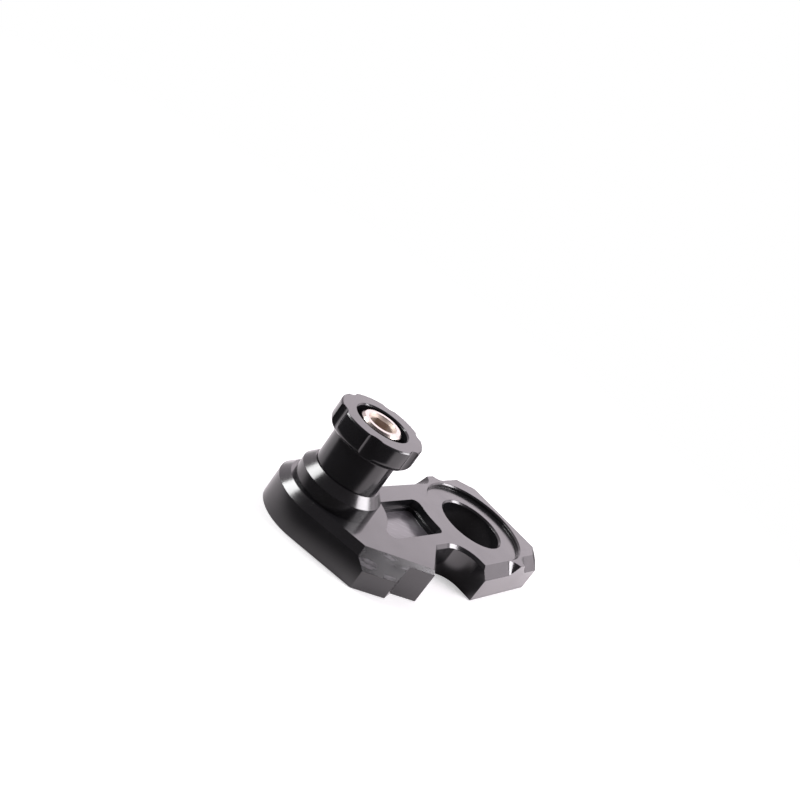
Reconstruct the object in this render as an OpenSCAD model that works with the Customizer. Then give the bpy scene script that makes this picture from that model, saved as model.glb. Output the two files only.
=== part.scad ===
// Chain adjuster with a lift spool. A thick machined plate slides in the rear
// fork slot. Its wide end carries the wheel axle in a large bore, its round
// boss carries a spacer collar and a spool clamped by one socket screw.
// Frame: the origin is the centre of the axle bore on the flat back face.
// Z runs along the bore toward the spool, the boss lies toward -X and the open
// notch faces -Y. All sizes are millimetres.

/* [Plate] */
// thickness of the plate
plate_t = 14; // [12:0.5:18]
// width of the axle end across the plate
plate_w = 53; // [51:1:58]
// distance from the axle bore centre to the flat end face
end_len = 28; // [26:0.5:34]
// length of the far corner cut of the axle end along the plate
cut_x = 9; // [6:0.5:10]
// length of the far corner cut of the axle end across the plate
cut_y = 8; // [5:0.5:10]
// length of the near corner cut of the axle end along the plate
near_cut_x = 8; // [6:0.5:10]
// length of the near corner cut of the axle end across the plate
near_cut_y = 5; // [3:0.5:8]
// top bevel on the end face and the far side of the axle end
end_bevel = 3; // [2:0.25:3.5]
// top bevel on the near side of the axle end
near_bevel = 4.5; // [3.5:0.25:5]
// top bevel along the arm
arm_bevel = 4; // [3.5:0.25:4.25]
// middle of the full height land beside the washer recess on the far side
land_far = -1; // [-3:0.5:1]
// middle of the full height land beside the washer recess on the near side
land_near = 3; // [2:0.5:4]
// distance from the middle of a land to where the bevel cutter stops
land_reach = 7.5; // [7.5:0.25:8.5]
// radius of the tip of the bevel cutter
cutter_r = 2; // [1:0.5:3]

/* [Axle bore] */
// diameter of the axle bore
bore_d = 27; // [20:0.5:30]
// edge bevel at the mouth of the axle bore
bore_bevel = 0.75; // [0.5:0.25:1.5]
// diameter of the washer recess round the bore
recess_d = 44; // [40:0.5:46]
// depth of the washer recess
recess_depth = 1.8; // [1:0.1:3]
// edge bevel of the washer recess
recess_bevel = 0.6; // [0.3:0.1:1]

/* [Spool boss] */
// distance of the spool axis from the bore axis along the plate
boss_x = 73; // [70:1:80]
// offset of the spool axis from the bore axis across the plate
boss_y = 21.5; // [18:0.5:24]
// diameter of the round boss
boss_d = 41; // [38:0.5:46]
// top bevel round the boss and down its straight flank
boss_bevel = 3; // [1.5:0.25:4]

/* [Heel] */
// position of the heel corner behind the bore axis
heel_x = 84.5; // [83:0.5:88]
// position of the heel corner below the bore axis
heel_y = 10; // [7:0.5:12]
// slope of the heel wall and the tab wall
heel_angle = 30; // [26:1:34]
// length of the heel wall
heel_len = 14.5; // [10:0.5:15.5]
// depth of the step between the heel wall and the tab wall
step_depth = 4; // [2:0.5:4]
// length of the tab wall
tab_len = 11; // [8:0.5:12]
// width of the top bevel of the heel, it runs on as a narrow bevel over the tab
heel_bevel = 5.2; // [4.5:0.1:6]
// depth of the top bevel of the heel down its wall
heel_drop = 6.5; // [5:0.25:8]

/* [Notch] */
// distance of the notch floor below the bore axis
notch_y = 10.5; // [9:0.5:12]
// distance of the upright notch wall behind the bore axis
notch_x = 24; // [22.5:0.5:26]
// length of the flat notch floor with its round corner
notch_len = 17.5; // [15:0.5:20]
// radius of the round notch corner
notch_r = 10; // [6:0.5:10.5]
// edge bevel of the notch
notch_bevel = 1.25; // [0.5:0.25:1.75]

/* [Pocket] */
// depth of the pocket in the arm
pocket_depth = 5; // [2:0.5:8]
// far wall of the pocket above the bore axis
pocket_top = 14.5; // [12:0.5:16]
// near wall of the pocket below the bore axis
pocket_low = 4; // [2:0.5:4.5]
// radius of the curved pocket wall round the bore axis
pocket_r = 29; // [27.5:0.5:31]
// corner radius of the pocket
pocket_fillet = 3; // [2:0.5:4]
// radius of the land left round the spool axis
land_r = 22.5; // [21:0.5:24]
// height of the bevel along the foot of the pocket walls
pocket_foot = 1.8; // [0.5:0.1:1.8]

/* [Collar] */
// distance of the collar's edge inside the edge of the spool head
collar_inset = 0.5; // [0:0.25:1]
// height of the straight part of the collar
collar_h = 5.5; // [3:0.25:8]
// height of the cone on top of the collar
cone_h = 3.5; // [2:0.25:5]
// width of the ledge left on the cone round the waist of the spool
cone_ledge = 0.5; // [0:0.25:1]

/* [Spool] */
// height of the spool
spool_h = 22.5; // [20:0.5:30]
// diameter of the straight waist
waist_d = 25; // [23:0.5:25]
// diameter of the spool head
head_d = 33; // [30:0.5:38]
// height of the spool head
head_h = 9; // [8:0.5:12]
// edge radius under the spool head
head_round = 3; // [1:0.5:3.5]
// fillet between the waist and the spool head
waist_fillet = 1; // [0.5:0.25:1.5]
// bevel of the head rim
rim_bevel = 0.5; // [0.2:0.1:1]
// number of flutes cut in the head rim
flute_n = 6; // [3:1:8]
// radius of the flute cutter
flute_r = 4.5; // [3:0.5:6]
// depth of the flutes
flute_depth = 1.4; // [0.5:0.1:1.6]
// direction of the first flute
flute_turn = 32; // [0:1:59]
// room round the screw head in its counterbore
cbore_gap = 2.25; // [1.5:0.25:2.5]
// edge bevel of the counterbore
cbore_bevel = 0.5; // [0.2:0.1:1]

/* [Screw] */
// nominal diameter of the clamp screw
screw_d = 10; // [8:1:10]
// diameter of the screw head
screw_head_d = 16; // [14:0.5:17]
// height of the screw head
screw_head_h = 10; // [8:0.5:10]
// width across the flats of the hexagon socket
hex_af = 8; // [6:1:9]
// depth of the hexagon socket
hex_depth = 5; // [3:0.5:6]
// bevel at the mouth of the hexagon socket
hex_mouth = 1; // [0.2:0.1:1.5]
// edge bevel of the screw head
screw_bevel = 0.8; // [0.3:0.1:1.5]
// distance of the screw tip above the back face
tip_gap = 2; // [1:0.5:5]

/* [Clearances] */
// radial play of the screw shank in the spool and the collar
shank_play = 0.3; // [0.1:0.05:0.5]
// radial play between the screw and its hole in the plate
thread_play = 0.05; // [0:0.01:0.1]

/* [View] */
// sub-part to draw

/* [Hidden] */
$fn = 96;
eps = 0.01;
// depth to which the corner circles of the pocket run into its curved walls
nip = 0.02;
half_w = plate_w / 2;
boss_r = boss_d / 2;
bore_r = bore_d / 2;
near_p = [end_len - near_cut_x, -half_w];
near_q = [end_len, -half_w + near_cut_y];
recess_r = recess_d / 2;
boss = [-boss_x, boss_y];
heel = [-heel_x, -heel_y];
along = [cos(heel_angle), -sin(heel_angle)];
inward = [sin(heel_angle), cos(heel_angle)];
heel_end = heel + heel_len * along;
tab_start = heel_end + step_depth * (along + inward);
tab_end = tab_start + tab_len * along;
// the straight flank leaves the boss as a tangent and ends at the heel corner
flank = heel - boss;
flank_turn = atan2(flank[1], flank[0]) + 360 - acos(boss_r / norm(flank));
tangent = boss + boss_r * [cos(flank_turn), sin(flank_turn)];
floor_start = [-notch_x - notch_len, -notch_y];
notch_c = [-notch_x - notch_r, -notch_y - notch_r];
collar_top = plate_t + collar_h + cone_h;
spool_top = collar_top + spool_h;
head_r = head_d / 2;
waist_r = waist_d / 2;
collar_r = head_r - collar_inset;
cone_r = waist_r + cone_ledge;
cbore_r = screw_head_d / 2 + cbore_gap;
seat_z = spool_top - screw_head_h;
hex_r = hex_af / 2 / cos(30);

adjuster_plate();
spool_collar();
spool();
spool_screw();

// Prism that bevels the top edge from p to q, the material lies on its left.
// The bevel is c wide on top and as deep down the wall, unless drop is given.
module edge_cut(p, q, c, e0, e1, drop = 0) {
  d = q - p;
  len = norm(d);
  k = drop > 0 ? drop : c;
  translate([p[0], p[1], plate_t])
    rotate([0, 0, atan2(d[1], d[0])])
      translate([-e0, 0, 0])
        rotate([90, 0, 90])
          linear_extrude(height = len + e0 + e1)
            polygon([[c + c / k, 1], [-1, 1], [-1, -k - k / c]]);
}

// Straight sided body of arm, heel, tab and axle end.
module body_shape() {
  polygon([
    [-notch_x, -half_w],
    near_p,
    near_q,
    [end_len, half_w - cut_y],
    [end_len - cut_x, half_w],
    [-boss_x, half_w],
    tangent,
    heel,
    heel_end,
    tab_start,
    tab_end,
    floor_start,
    [-notch_x - notch_r, -notch_y],
    notch_c,
    [-notch_x, notch_c[1]]
  ]);
}

// Cone left by the bevel cutter where a bevel of size c stops at x.
module bevel_end(x, side, c) {
  translate([x, side * (half_w + cutter_r), plate_t - c])
    cylinder(h = c + 1, r1 = cutter_r, r2 = cutter_r + c + 1);
}

module adjuster_plate() {
  color([0.13, 0.13, 0.14])
  difference() {
    union() {
      difference() {
        linear_extrude(height = plate_t) body_shape();
        translate([notch_c[0], notch_c[1], -1])
          cylinder(h = plate_t + 2, r = notch_r);
        edge_cut([land_far - land_reach, half_w], [-boss_x, half_w], arm_bevel, 0, 0);
        bevel_end(land_far - land_reach, 1, arm_bevel);
        edge_cut([end_len - cut_x, half_w], [land_far + land_reach, half_w], end_bevel, 5, 0);
        bevel_end(land_far + land_reach, 1, end_bevel);
        edge_cut([-notch_x, -half_w], [land_near - land_reach, -half_w], arm_bevel, 1, 0);
        bevel_end(land_near - land_reach, -1, arm_bevel);
        edge_cut([land_near + land_reach, -half_w], near_p, near_bevel, 0, 5);
        bevel_end(land_near + land_reach, -1, near_bevel);
        edge_cut(near_p, near_q, near_bevel, 5, 5);
        edge_cut(near_q, [end_len, half_w - cut_y], end_bevel, 5, 5);
        edge_cut([end_len, half_w - cut_y], [end_len - cut_x, half_w], end_bevel, 5, 5);
        edge_cut(tangent, heel, boss_bevel, 10, 10);
        edge_cut(heel, heel_end, heel_bevel, 10, step_depth + tab_len + 5, heel_drop);
        edge_cut(tab_end, floor_start, notch_bevel, 5, 0.3);
        edge_cut(floor_start, [notch_c[0], -notch_y], notch_bevel, 0.3, 0);
        edge_cut([-notch_x, notch_c[1]], [-notch_x, -half_w], notch_bevel, 0, 5);
        translate([notch_c[0], notch_c[1], plate_t - notch_bevel])
          cylinder(h = notch_bevel + 1, r1 = notch_r, r2 = notch_r + notch_bevel + 1);
      }
      translate([boss[0], boss[1], 0]) {
        cylinder(h = plate_t - boss_bevel, r = boss_r);
        translate([0, 0, plate_t - boss_bevel])
          cylinder(h = boss_bevel, r1 = boss_r, r2 = boss_r - boss_bevel);
      }
    }
    axle_bore();
    arm_pocket();
    translate([boss[0], boss[1], -1])
      cylinder(h = plate_t + 2, r = screw_d / 2 + thread_play);
  }
}

module axle_bore() {
  floor_z = plate_t - recess_depth;
  translate([0, 0, -1])
    cylinder(h = plate_t + 2, r = bore_r);
  translate([0, 0, floor_z - bore_bevel])
    cylinder(h = bore_bevel + 1, r1 = bore_r, r2 = bore_r + bore_bevel + 1);
  translate([0, 0, floor_z])
    cylinder(h = recess_depth + 1, r = recess_r);
  translate([0, 0, plate_t - recess_bevel])
    cylinder(h = recess_bevel + 1, r1 = recess_r, r2 = recess_r + recess_bevel + 1);
}

// Pocket outline drawn in by k on every side.
module pocket_shape(k) {
  rf = pocket_fillet - k;
  wall = pocket_r + k;
  land = land_r + k;
  top = pocket_top - k;
  low = -pocket_low + k;
  near_c = [-sqrt(pow(wall + rf - nip, 2) - pow(low + rf, 2)), low + rf];
  far_c = [-sqrt(pow(wall + rf - nip, 2) - pow(top - rf, 2)), top - rf];
  left_c = [-boss_x + sqrt(pow(land + rf - nip, 2) - pow(low + rf - boss_y, 2)), low + rf];
  near_t = near_c * wall / (wall + rf - nip);
  far_t = far_c * wall / (wall + rf - nip);
  left_t = boss + (left_c - boss) * land / (land + rf - nip);
  difference() {
    translate([left_c[0] - rf - 6, low])
      square([boss_x, top - low]);
    circle(r = wall);
    translate(boss) circle(r = land);
    polygon([near_c, near_t, [0, near_t[1]], [0, low - 1], [near_c[0], low - 1]]);
    polygon([far_c, [far_c[0], top + 1], [0, top + 1], [0, far_t[1]], far_t]);
    polygon([left_c, [left_c[0], low - 1], [-boss_x, low - 1], [-boss_x, left_t[1]], left_t]);
  }
  translate(near_c) circle(r = rf);
  translate(far_c) circle(r = rf);
  translate(left_c) circle(r = rf);
}

module arm_pocket() {
  floor_z = plate_t - pocket_depth;
  translate([0, 0, floor_z + pocket_foot])
    linear_extrude(height = pocket_depth) pocket_shape(0);
  translate([0, 0, floor_z])
    linear_extrude(height = pocket_foot + eps) pocket_shape(pocket_foot / 2);
}

module spool_collar() {
  color([0.11, 0.11, 0.12])
  translate([boss[0], boss[1], plate_t])
    rotate_extrude()
      polygon([
        [screw_d / 2 + shank_play, 0],
        [collar_r, 0],
        [collar_r, collar_h],
        [cone_r, collar_h + cone_h],
        [screw_d / 2 + shank_play, collar_h + cone_h]
      ]);
}

// Half section of the spool, drawn from its axis outward.
module spool_profile() {
  neck_z = spool_h - head_h;
  difference() {
    union() {
      square([waist_r, spool_h]);
      translate([0, neck_z + head_round])
        square([head_r, head_h - head_round - rim_bevel]);
      translate([0, neck_z])
        square([head_r - head_round, head_h]);
      translate([head_r - head_round, neck_z + head_round])
        circle(r = head_round);
      translate([0, spool_h - rim_bevel])
        polygon([[0, 0], [head_r, 0], [head_r - rim_bevel, rim_bevel], [0, rim_bevel]]);
      translate([waist_r - 1, neck_z - waist_fillet])
        square([1 + waist_fillet, waist_fillet]);
    }
    translate([waist_r + waist_fillet, neck_z - waist_fillet])
      circle(r = waist_fillet);
    translate([-1, -1])
      square([screw_d / 2 + shank_play + 1, spool_h + 2]);
    translate([-1, seat_z - collar_top])
      square([cbore_r + 1, screw_head_h + 1]);
    translate([cbore_r - eps, spool_h - cbore_bevel])
      polygon([[0, 0], [cbore_bevel + eps, cbore_bevel + eps], [0, cbore_bevel + eps]]);
  }
}

module spool() {
  color([0.1, 0.1, 0.11])
  translate([boss[0], boss[1], collar_top])
    difference() {
      rotate_extrude() spool_profile();
      for (i = [0 : flute_n - 1])
        rotate([0, 0, flute_turn + i * 360 / flute_n])
          translate([head_r - flute_depth + flute_r, 0, spool_h - head_h - waist_fillet])
            cylinder(h = head_h + waist_fillet + 1, r = flute_r);
    }
}

module spool_screw() {
  shank_r = screw_d / 2;
  top_r = screw_head_d / 2;
  color([0.78, 0.76, 0.73])
  translate([boss[0], boss[1], 0])
    difference() {
      rotate_extrude()
        polygon([
          [0, tip_gap],
          [shank_r, tip_gap],
          [shank_r, seat_z],
          [top_r, seat_z],
          [top_r, spool_top - screw_bevel],
          [top_r - screw_bevel, spool_top],
          [0, spool_top]
        ]);
      translate([0, 0, spool_top - hex_depth])
        cylinder(h = hex_depth + 1, r = hex_r, $fn = 6);
      translate([0, 0, spool_top - hex_mouth])
        cylinder(h = hex_mouth + 1, r1 = hex_r, r2 = hex_r + hex_mouth + 1);
      translate([0, 0, spool_top - hex_depth - hex_af / 4])
        cylinder(h = hex_af / 4, r1 = 0, r2 = hex_af / 2);
    }
}
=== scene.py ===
"""Looks for the chain adjuster: black anodised plate, collar and spool, bright clamp screw.

Metres, in the CAD frame: the axle bore stands on the origin, its axis along Z.
"""

import math

import bmesh
import bpy
from mathutils import Matrix, Vector


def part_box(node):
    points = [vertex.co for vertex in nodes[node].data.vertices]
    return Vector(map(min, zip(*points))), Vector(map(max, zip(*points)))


MM = 0.001

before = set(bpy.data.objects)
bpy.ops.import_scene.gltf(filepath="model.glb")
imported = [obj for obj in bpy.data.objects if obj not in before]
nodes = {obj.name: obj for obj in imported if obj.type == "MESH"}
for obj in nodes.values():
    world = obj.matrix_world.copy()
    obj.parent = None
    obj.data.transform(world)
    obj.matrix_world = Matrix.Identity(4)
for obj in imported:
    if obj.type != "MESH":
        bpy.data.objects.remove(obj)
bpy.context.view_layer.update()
scene = bpy.context.scene

# Places on the part

screw_low, screw_high = (Vector(corner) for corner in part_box("spool_screw"))
SPOOL_AXIS = ((screw_low + screw_high) / 2) * Vector((1, 1, 0))
SPOOL_TOP = screw_high.z
POCKET_DEPTH = 5 * MM
POCKET_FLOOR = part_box("adjuster_plate")[1][2] - POCKET_DEPTH
# the long bevel over the heel, in mm, and its normal
HEEL_ANGLE = math.radians(30)
HEEL_BEVEL_WIDTH = 5.2
HEEL_BEVEL_DROP = 6.5
HEEL_NORMAL = Vector(
    (
        -math.sin(HEEL_ANGLE) * HEEL_BEVEL_DROP,
        -math.cos(HEEL_ANGLE) * HEEL_BEVEL_DROP,
        HEEL_BEVEL_WIDTH,
    )
).normalized()
# the point that the lamps aim at
LOOK_AT = Vector((-0.045, 0.010, 0.018))

# Helpers for colours and nodes


def linear(hex_colour):
    """sRGB hex, as '#1c1c1e', to a linear RGBA colour."""
    channels = [int(hex_colour[i : i + 2], 16) / 255 for i in (1, 3, 5)]
    return [c / 12.92 if c <= 0.04045 else ((c + 0.055) / 1.055) ** 2.4 for c in channels] + [1.0]


def add(tree, kind, settings, links=None):
    """Adds a node. A setting names an input socket, or else a property of the node."""
    node = tree.nodes.new(kind)
    for key, value in settings.items():
        if isinstance(key, int) or key in node.inputs:
            continue
        setattr(node, key, value)
    for key, value in settings.items():
        if isinstance(key, int) or key in node.inputs:
            node.inputs[key].default_value = value
    for key, source in (links or {}).items():
        tree.links.new(source, node.inputs[key])
    return node


def new_material(name):
    """A material with an empty tree."""
    material = bpy.data.materials.new(name)
    material.use_nodes = True
    material.node_tree.nodes.clear()
    return material, material.node_tree


def per_metre(size_mm):
    """Texture scale at which one pattern cell is size_mm wide."""
    return 1 / (size_mm * MM)


# Black anodised aluminium


def anodised_aluminium(name, colours, roughness, index, turned_about=None):
    """Dyed and sealed oxide over bright aluminium.

    The clear oxide has a high index, so it mirrors the studio strongly at a low angle
    and stays near black face on. Milled faces carry a faint grain, turned ones rings.
    """
    material, tree = new_material(name)
    place = add(tree, "ShaderNodeTexCoord", {}).outputs["Object"]
    # 0.25 mm edge break that a deburring pass leaves on every machined corner
    edge = add(tree, "ShaderNodeBevel", {"samples": 6, "Radius": 0.25 * MM})
    # 9 mm clouds: uneven sealing, seen only as a slight change in gloss
    clouds = add(
        tree,
        "ShaderNodeTexNoise",
        {"Scale": per_metre(9), "Detail": 3.0},
        {"Vector": place},
    )
    gloss = add(
        tree,
        "ShaderNodeMapRange",
        {"From Min": 0.3, "From Max": 0.7, "To Min": roughness * 0.8, "To Max": roughness * 1.25},
        {"Value": clouds.outputs["Fac"]},
    )
    # 0.35 mm grain, coarser than the real etch so that it shows at all
    grain = add(
        tree,
        "ShaderNodeTexNoise",
        {"Scale": per_metre(0.35), "Detail": 2.0},
        {"Vector": place},
    )
    height = grain.outputs["Fac"]
    if turned_about is not None:
        height = turning_rings(tree, place, turned_about, height)
    bump = add(
        tree,
        "ShaderNodeBump",
        {"Strength": 0.02, "Distance": 0.1 * MM},
        {"Height": height, "Normal": edge.outputs["Normal"]},
    )
    dye = add(
        tree,
        "ShaderNodeMix",
        {"data_type": "RGBA", 6: linear(colours[0]), 7: linear(colours[1])},
        {0: clouds.outputs["Fac"]},
    ).outputs[2]
    if turned_about is None:
        dye = milling_marks(tree, place, dye)
    shader = add(
        tree,
        "ShaderNodeBsdfPrincipled",
        {"Metallic": 0.0, "IOR": index},
        {"Base Color": dye, "Roughness": gloss.outputs["Result"], "Normal": bump.outputs["Normal"]},
    )
    add(tree, "ShaderNodeOutputMaterial", {}, {"Surface": shader.outputs["BSDF"]})
    return material


def turning_rings(tree, place, axis, height):
    """Adds the rings that the lathe leaves about an axis to a height."""
    centred = add(tree, "ShaderNodeMapping", {"Location": -axis}, {"Vector": place})
    # rings 2.5 mm apart, far coarser than the lathe's feed so that they show at all.
    # At scale 1 a wave texture's rings lie tau / 20 apart.
    rings = add(
        tree,
        "ShaderNodeTexWave",
        {
            "wave_type": "RINGS",
            "rings_direction": "SPHERICAL",
            "Scale": per_metre(2.513) * math.tau / 20,
            "Distortion": 0.6,
        },
        {"Vector": centred.outputs["Vector"]},
    )
    both = add(tree, "ShaderNodeMath", {"operation": "ADD"}, {0: rings.outputs["Fac"], 1: height})
    return both.outputs["Value"]


def milling_marks(tree, place, dye):
    """Lightens the dye on the pocket floor, and in cutter smears there and on the long heel bevel."""
    facing = add(tree, "ShaderNodeNewGeometry", {}).outputs["True Normal"]
    spot = add(tree, "ShaderNodeSeparateXYZ", {}, {0: place})
    level = add(
        tree,
        "ShaderNodeMath",
        {"operation": "COMPARE", 1: POCKET_FLOOR, 2: 0.05 * MM},
        {0: spot.outputs["Z"]},
    )
    upward = add(tree, "ShaderNodeSeparateXYZ", {}, {0: facing})
    flat = add(tree, "ShaderNodeMath", {"operation": "GREATER_THAN", 1: 0.99}, {0: upward.outputs["Z"]})
    floor = add(
        tree,
        "ShaderNodeMath",
        {"operation": "MULTIPLY"},
        {0: level.outputs["Value"], 1: flat.outputs["Value"]},
    )
    toward_heel = add(
        tree, "ShaderNodeVectorMath", {"operation": "DOT_PRODUCT", 1: HEEL_NORMAL}, {0: facing}
    )
    heel = add(
        tree,
        "ShaderNodeMath",
        {"operation": "GREATER_THAN", 1: 0.995},
        {0: toward_heel.outputs["Value"]},
    )
    # the smears are fainter on the floor than on the bevel
    on_floor = add(
        tree, "ShaderNodeMath", {"operation": "MULTIPLY", 1: 0.35}, {0: floor.outputs["Value"]}
    )
    marked = add(
        tree,
        "ShaderNodeMath",
        {"operation": "MAXIMUM"},
        {0: on_floor.outputs["Value"], 1: heel.outputs["Value"]},
    )
    # smears 7 mm long and 1.5 mm wide along the heel
    along = add(
        tree,
        "ShaderNodeMapping",
        {
            "vector_type": "TEXTURE",
            "Rotation": (0, 0, -HEEL_ANGLE),
            "Scale": (7 * MM, 1.5 * MM, 1.5 * MM),
        },
        {"Vector": place},
    )
    smears = add(
        tree,
        "ShaderNodeTexNoise",
        {"Scale": 1.0, "Detail": 4.0},
        {"Vector": along.outputs["Vector"]},
    )
    amount = add(
        tree,
        "ShaderNodeMapRange",
        {"From Min": 0.5, "From Max": 0.72, "To Max": 0.6, "interpolation_type": "SMOOTHSTEP"},
        {"Value": smears.outputs["Fac"]},
    )
    smeared = add(
        tree,
        "ShaderNodeMath",
        {"operation": "MULTIPLY"},
        {0: amount.outputs["Result"], 1: marked.outputs["Value"]},
    )
    # the pocket floor is milled duller and paler all over than the faces round it
    pale = add(
        tree,
        "ShaderNodeMath",
        {"operation": "MULTIPLY_ADD", 1: 0.6},
        {0: floor.outputs["Value"], 2: smeared.outputs["Value"]},
    )
    return add(
        tree,
        "ShaderNodeMix",
        {"data_type": "RGBA", 7: linear("#6b686d")},
        {0: pale.outputs["Value"], 6: dye},
    ).outputs[2]


# Bright stainless steel

# reach of the cone at the socket's mouth from the axis, and the height of rim that stays bright
SOCKET_REACH = 5.6 * MM
BRIGHT_RIM = 0.15 * MM


def stainless_steel():
    """Cold headed stainless screw: bright warm grey rim, brown drawing oil left in the socket."""
    material, tree = new_material("stainless_steel_screw")
    place = add(tree, "ShaderNodeTexCoord", {}).outputs["Object"]
    edge = add(tree, "ShaderNodeBevel", {"samples": 6, "Radius": 0.2 * MM})
    centred = add(tree, "ShaderNodeMapping", {"Location": -SPOOL_AXIS}, {"Vector": place})
    flat = add(
        tree,
        "ShaderNodeVectorMath",
        {"operation": "MULTIPLY", 1: (1, 1, 0)},
        {0: centred.outputs["Vector"]},
    )
    radius = add(tree, "ShaderNodeVectorMath", {"operation": "LENGTH"}, {0: flat.outputs["Vector"]})
    spot = add(tree, "ShaderNodeSeparateXYZ", {}, {0: place})
    near_axis = add(
        tree,
        "ShaderNodeMath",
        {"operation": "LESS_THAN", 1: SOCKET_REACH},
        {0: radius.outputs["Value"]},
    )
    below_rim = add(
        tree,
        "ShaderNodeMath",
        {"operation": "LESS_THAN", 1: SPOOL_TOP - BRIGHT_RIM},
        {0: spot.outputs["Z"]},
    )
    in_socket = add(
        tree,
        "ShaderNodeMath",
        {"operation": "MULTIPLY"},
        {0: near_axis.outputs["Value"], 1: below_rim.outputs["Value"]},
    )
    colour = add(
        tree,
        "ShaderNodeMix",
        {"data_type": "RGBA", 6: linear("#b9b0aa"), 7: linear("#beb0a5")},
        {0: in_socket.outputs["Value"]},
    )
    # 0.5 mm smears of the heading die
    smears = add(
        tree,
        "ShaderNodeTexNoise",
        {"Scale": per_metre(0.5), "Detail": 3.0},
        {"Vector": place},
    )
    gloss = add(
        tree,
        "ShaderNodeMapRange",
        {"From Min": 0.3, "From Max": 0.7, "To Min": 0.16, "To Max": 0.3},
        {"Value": smears.outputs["Fac"]},
    )
    # the punched socket is duller than the turned rim
    dull = add(
        tree,
        "ShaderNodeMath",
        {"operation": "MULTIPLY_ADD", 1: 0.35},
        {0: in_socket.outputs["Value"], 2: gloss.outputs["Result"]},
    )
    bump = add(
        tree,
        "ShaderNodeBump",
        {"Strength": 0.05, "Distance": 0.1 * MM},
        {"Height": smears.outputs["Fac"], "Normal": edge.outputs["Normal"]},
    )
    shader = add(
        tree,
        "ShaderNodeBsdfPrincipled",
        {"Metallic": 1.0},
        {
            "Base Color": colour.outputs[2],
            "Roughness": dull.outputs["Value"],
            "Normal": bump.outputs["Normal"],
        },
    )
    add(tree, "ShaderNodeOutputMaterial", {}, {"Surface": shader.outputs["BSDF"]})
    return material


# The four pieces take their finish

OXIDE_INDEX = 1.65
# the spool mirrors less in the photograph than the plate does
SPOOL_OXIDE_INDEX = 1.5


def finish_node(name, material):
    """The CAD node keeps its mesh and takes the material in every slot."""
    data = nodes[name].data
    data.materials.clear()
    data.materials.append(material)


finish_node(
    "adjuster_plate",
    anodised_aluminium("black_anodised_plate", ("#161618", "#1a1a1c"), 0.18, OXIDE_INDEX),
)
finish_node(
    "spool_collar",
    anodised_aluminium("black_anodised_collar", ("#131315", "#171719"), 0.2, OXIDE_INDEX, SPOOL_AXIS),
)
finish_node(
    "spool",
    anodised_aluminium("black_anodised_spool", ("#171719", "#1a1a1c"), 0.15, SPOOL_OXIDE_INDEX, SPOOL_AXIS),
)
finish_node("spool_screw", stainless_steel())

# Lamps

# heading of the photograph's view over the floor, and the way to its right
AHEAD = Vector((0.8932, 0.4497, 0.0))
RIGHT = Vector((0.4497, -0.8932, 0.0))


def from_here(azimuth, elevation):
    """Direction from the part, azimuth in degrees to the right of the way the camera looks."""
    a, e = math.radians(azimuth), math.radians(elevation)
    return (AHEAD * math.cos(a) + RIGHT * math.sin(a)) * math.cos(e) + Vector((0, 0, math.sin(e)))


def softbox(name, azimuth, elevation, distance, width, height, power, colour):
    """Rectangular lamp aimed at the part. Distance and size in metres, power in watts."""
    lamp = bpy.data.lights.new(name, "AREA")
    lamp.shape = "RECTANGLE"
    lamp.size = width
    lamp.size_y = height
    lamp.energy = power
    lamp.color = linear(colour)[:3]
    thing = bpy.data.objects.new(name, lamp)
    way = from_here(azimuth, elevation)
    thing.location = LOOK_AT + way * distance
    thing.rotation_euler = way.to_track_quat("Z", "Y").to_euler()
    thing.visible_camera = False
    scene.collection.objects.link(thing)


softbox("softbox_right", 80.5, 34, 0.9, 0.52, 0.30, 7, "#fffaff")
softbox("softbox_left", -90, 37, 0.9, 0.50, 0.26, 6, "#ffffff")
softbox("softbox_back", 14, 24, 1.2, 1.9, 0.45, 3.3, "#fff4fc")

# Room

DIM_ROOM = 0.12


def studio_world():
    """White behind and beside the part, a dim room behind the camera. The camera sees plain white."""
    world = bpy.data.worlds.new("studio")
    world.use_nodes = True
    tree = world.node_tree
    tree.nodes.clear()
    way = add(tree, "ShaderNodeTexCoord", {}).outputs["Generated"]
    ahead = add(tree, "ShaderNodeVectorMath", {"operation": "DOT_PRODUCT", 1: AHEAD}, {0: way})
    level = add(
        tree,
        "ShaderNodeMapRange",
        {
            "From Min": -0.3,
            "From Max": 0.6,
            "To Min": DIM_ROOM,
            "To Max": 1.0,
            "interpolation_type": "SMOOTHSTEP",
        },
        {"Value": ahead.outputs["Value"]},
    )
    room = add(
        tree,
        "ShaderNodeBackground",
        {"Color": linear("#fff4fc")},
        {"Strength": level.outputs["Result"]},
    )
    white = add(tree, "ShaderNodeBackground", {"Color": linear("#ffffff"), "Strength": 1.0})
    ray = add(tree, "ShaderNodeLightPath", {})
    shown = add(
        tree,
        "ShaderNodeMixShader",
        {},
        {
            0: ray.outputs["Is Camera Ray"],
            1: room.outputs["Background"],
            2: white.outputs["Background"],
        },
    )
    add(tree, "ShaderNodeOutputWorld", {}, {"Surface": shown.outputs["Shader"]})
    scene.world = world


studio_world()

# Light table under the part

FLOOR_HALF_WIDTH = 6.0
FLOOR_GAP = 0.2 * MM
# the card glows as a light table does, which leaves the shadow faint
SEEN_GLOW = 0.45
# reflections show it at half strength on the left of the part, full white on its right
LEFT_GLOW = 0.5
RIGHT_GLOW = 1.0
GLOW_BLEND = 0.03
# the card fades into the backdrop between these distances from the part
CARD_REACH = 0.15
BACKDROP_REACH = 0.45
# painted shade, met by reflections alone: the table is painted black between part and camera
PAINTED_DARK_WAY = -0.97 * AHEAD - 0.25 * RIGHT
PAINTED_DARK_START = 0.084
PAINTED_DARK_FULL = 0.104
PAINTED_DARK_BLACK = 0.95
# the table inside the bore and the notch gets little light, which only reflections show
SHADE_HALF_WIDTH = 0.022
SHADE_END = 0.028
SHADE_BLACK = 0.9
SHADE_FROM_X = -0.048


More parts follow.
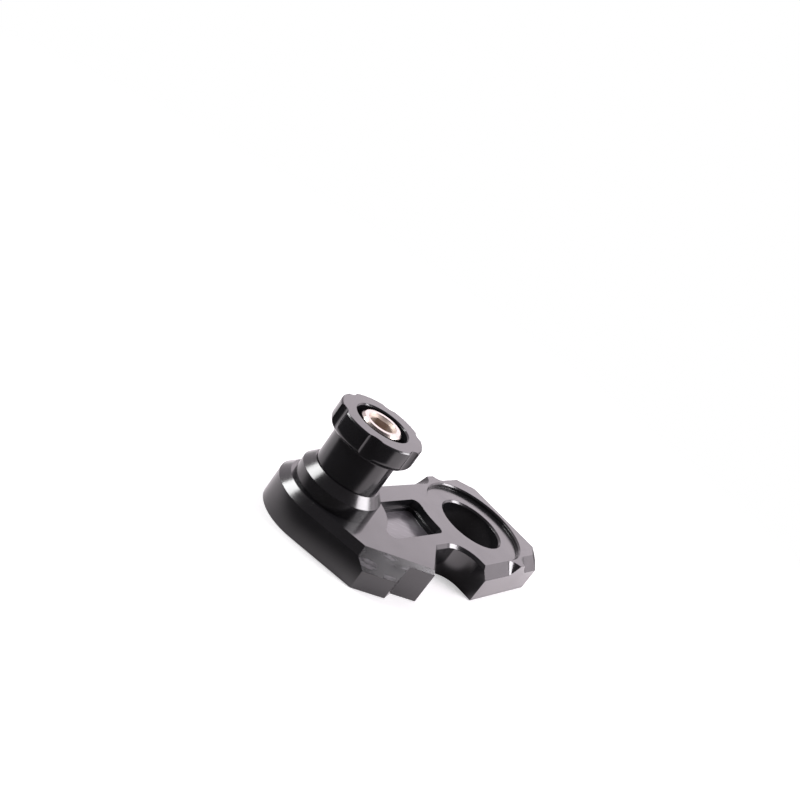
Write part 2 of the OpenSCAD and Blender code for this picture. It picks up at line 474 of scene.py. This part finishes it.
def floor_sheet():
    """Large flat sheet a hair below the part."""
    mesh = bpy.data.meshes.new("floor")
    form = bmesh.new()
    bmesh.ops.create_grid(form, x_segments=1, y_segments=1, size=FLOOR_HALF_WIDTH)
    bmesh.ops.translate(form, verts=form.verts, vec=(0, 0, -FLOOR_GAP))
    form.to_mesh(mesh)
    form.free()
    sheet = bpy.data.objects.new("floor", mesh)
    scene.collection.objects.link(sheet)
    return sheet


def lit_card(tree, place, ray, plain):
    """White card that glows, stronger in reflections."""
    card = add(tree, "ShaderNodeBsdfDiffuse", {"Color": linear("#dedede")})
    seen_glow = add(tree, "ShaderNodeMath", {"operation": "MULTIPLY", 1: SEEN_GLOW}, {0: plain})
    sideways = add(tree, "ShaderNodeVectorMath", {"operation": "DOT_PRODUCT", 1: RIGHT}, {0: place})
    mirrored_glow = add(
        tree,
        "ShaderNodeMapRange",
        {
            "From Min": -GLOW_BLEND,
            "From Max": GLOW_BLEND,
            "To Min": LEFT_GLOW,
            "To Max": RIGHT_GLOW,
            "interpolation_type": "SMOOTHSTEP",
        },
        {"Value": sideways.outputs["Value"]},
    )
    strength = add(
        tree,
        "ShaderNodeMath",
        {"operation": "MULTIPLY_ADD"},
        {0: mirrored_glow.outputs["Result"], 1: ray.outputs["Is Glossy Ray"], 2: seen_glow.outputs["Value"]},
    )
    # painted reflection tint: in reflections alone the glow turns faintly pink, so the black dye mirrors the
    # ground faintly pink
    painted_reflection_tint = add(
        tree,
        "ShaderNodeMix",
        {"data_type": "RGBA", 6: linear("#ffffff"), 7: linear("#fff2f9")},
        {0: ray.outputs["Is Glossy Ray"]},
    )
    glow = add(
        tree,
        "ShaderNodeEmission",
        {},
        {"Color": painted_reflection_tint.outputs[2], "Strength": strength.outputs["Value"]},
    )
    return add(
        tree,
        "ShaderNodeAddShader",
        {},
        {0: card.outputs["BSDF"], 1: glow.outputs["Emission"]},
    ).outputs["Shader"]


def ground(tree, place, ray):
    """The card near the part, running out into the white backdrop."""
    plain = add(
        tree,
        "ShaderNodeMath",
        {"operation": "MAXIMUM"},
        {0: ray.outputs["Is Camera Ray"], 1: ray.outputs["Is Transmission Ray"]},
    ).outputs["Value"]
    seen = add(
        tree,
        "ShaderNodeMath",
        {"operation": "MAXIMUM"},
        {0: plain, 1: ray.outputs["Is Glossy Ray"]},
    )
    backdrop = add(
        tree,
        "ShaderNodeEmission",
        {"Color": linear("#ffffff")},
        {"Strength": seen.outputs["Value"]},
    )
    centred = add(
        tree,
        "ShaderNodeVectorMath",
        {"operation": "SUBTRACT", 1: (LOOK_AT.x, LOOK_AT.y, 0)},
        {0: place},
    )
    reach = add(tree, "ShaderNodeVectorMath", {"operation": "LENGTH"}, {0: centred.outputs["Vector"]})
    fade = add(
        tree,
        "ShaderNodeMapRange",
        {"From Min": CARD_REACH, "From Max": BACKDROP_REACH, "interpolation_type": "SMOOTHSTEP"},
        {"Value": reach.outputs["Value"]},
    )
    return add(
        tree,
        "ShaderNodeMixShader",
        {},
        {0: fade.outputs["Result"], 1: lit_card(tree, place, ray, plain), 2: backdrop.outputs["Emission"]},
    ).outputs["Shader"]


def painted_shade_in_reflections(tree, place, ray):
    """Painted shade seen only in reflections: how black the table is painted between part and camera, and
    inside the bore and the notch.
    """
    toward = add(
        tree, "ShaderNodeVectorMath", {"operation": "DOT_PRODUCT", 1: PAINTED_DARK_WAY}, {0: place}
    )
    # painted shade: the dark patch between part and camera, in reflections alone
    painted_dark_patch = add(
        tree,
        "ShaderNodeMapRange",
        {
            "From Min": PAINTED_DARK_START,
            "From Max": PAINTED_DARK_FULL,
            "To Max": PAINTED_DARK_BLACK,
            "interpolation_type": "SMOOTHSTEP",
        },
        {"Value": toward.outputs["Value"]},
    )
    spot = add(tree, "ShaderNodeSeparateXYZ", {}, {0: place})
    across = add(tree, "ShaderNodeMath", {"operation": "ABSOLUTE"}, {0: spot.outputs["Y"]})
    within = add(
        tree,
        "ShaderNodeMapRange",
        {
            "From Min": SHADE_END,
            "From Max": SHADE_HALF_WIDTH,
            "To Max": SHADE_BLACK,
            "interpolation_type": "SMOOTHSTEP",
        },
        {"Value": across.outputs["Value"]},
    )
    beyond = add(
        tree,
        "ShaderNodeMath",
        {"operation": "GREATER_THAN", 1: SHADE_FROM_X},
        {0: spot.outputs["X"]},
    )
    shade = add(
        tree,
        "ShaderNodeMath",
        {"operation": "MULTIPLY"},
        {0: within.outputs["Result"], 1: beyond.outputs["Value"]},
    )
    darker = add(
        tree,
        "ShaderNodeMath",
        {"operation": "MAXIMUM"},
        {0: painted_dark_patch.outputs["Result"], 1: shade.outputs["Value"]},
    )
    return add(
        tree,
        "ShaderNodeMath",
        {"operation": "MULTIPLY"},
        {0: darker.outputs["Value"], 1: ray.outputs["Is Glossy Ray"]},
    ).outputs["Value"]


def pale_floor():
    """White card under the part. Its shadow shows, its lit field runs into the white backdrop."""
    sheet = floor_sheet()
    material, tree = new_material("white_card")
    place = add(tree, "ShaderNodeTexCoord", {}).outputs["Object"]
    ray = add(tree, "ShaderNodeLightPath", {})
    # black that the painted shade mixes into the table, in reflections alone
    black = add(tree, "ShaderNodeEmission", {"Color": linear("#000000"), "Strength": 0.0})
    shown = add(
        tree,
        "ShaderNodeMixShader",
        {},
        {
            0: painted_shade_in_reflections(tree, place, ray),
            1: ground(tree, place, ray),
            2: black.outputs["Emission"],
        },
    )
    add(tree, "ShaderNodeOutputMaterial", {}, {"Surface": shown.outputs["Shader"]})
    sheet.data.materials.append(material)


pale_floor()

# Camera, solved from the ellipses of the bores, the boss and the spool in the photograph

CAMERA_PLACE = Vector((-392.63, -139.59, 176.29)) * MM
CAMERA_AHEAD = Vector((0.84648, 0.42616, -0.31915))
CAMERA_RIGHT = Vector((0.53158, -0.64289, 0.55146))
LENS_MM = 50.18


def photo_camera():
    """The photograph's view: 18.6 degrees down on the plate and rolled, 39.5 degrees across."""
    ahead = CAMERA_AHEAD.normalized()
    right = (CAMERA_RIGHT - ahead * CAMERA_RIGHT.dot(ahead)).normalized()
    up = right.cross(ahead)
    lens = bpy.data.cameras.new("camera")
    lens.sensor_width = 36
    lens.lens = LENS_MM
    lens.clip_start = 0.01
    lens.clip_end = 50
    camera = bpy.data.objects.new("camera", lens)
    turn = Matrix((right, up, -ahead)).transposed()
    camera.matrix_world = Matrix.Translation(CAMERA_PLACE) @ turn.to_4x4()
    scene.collection.objects.link(camera)
    scene.camera = camera


photo_camera()

scene.view_settings.view_transform = "Standard"
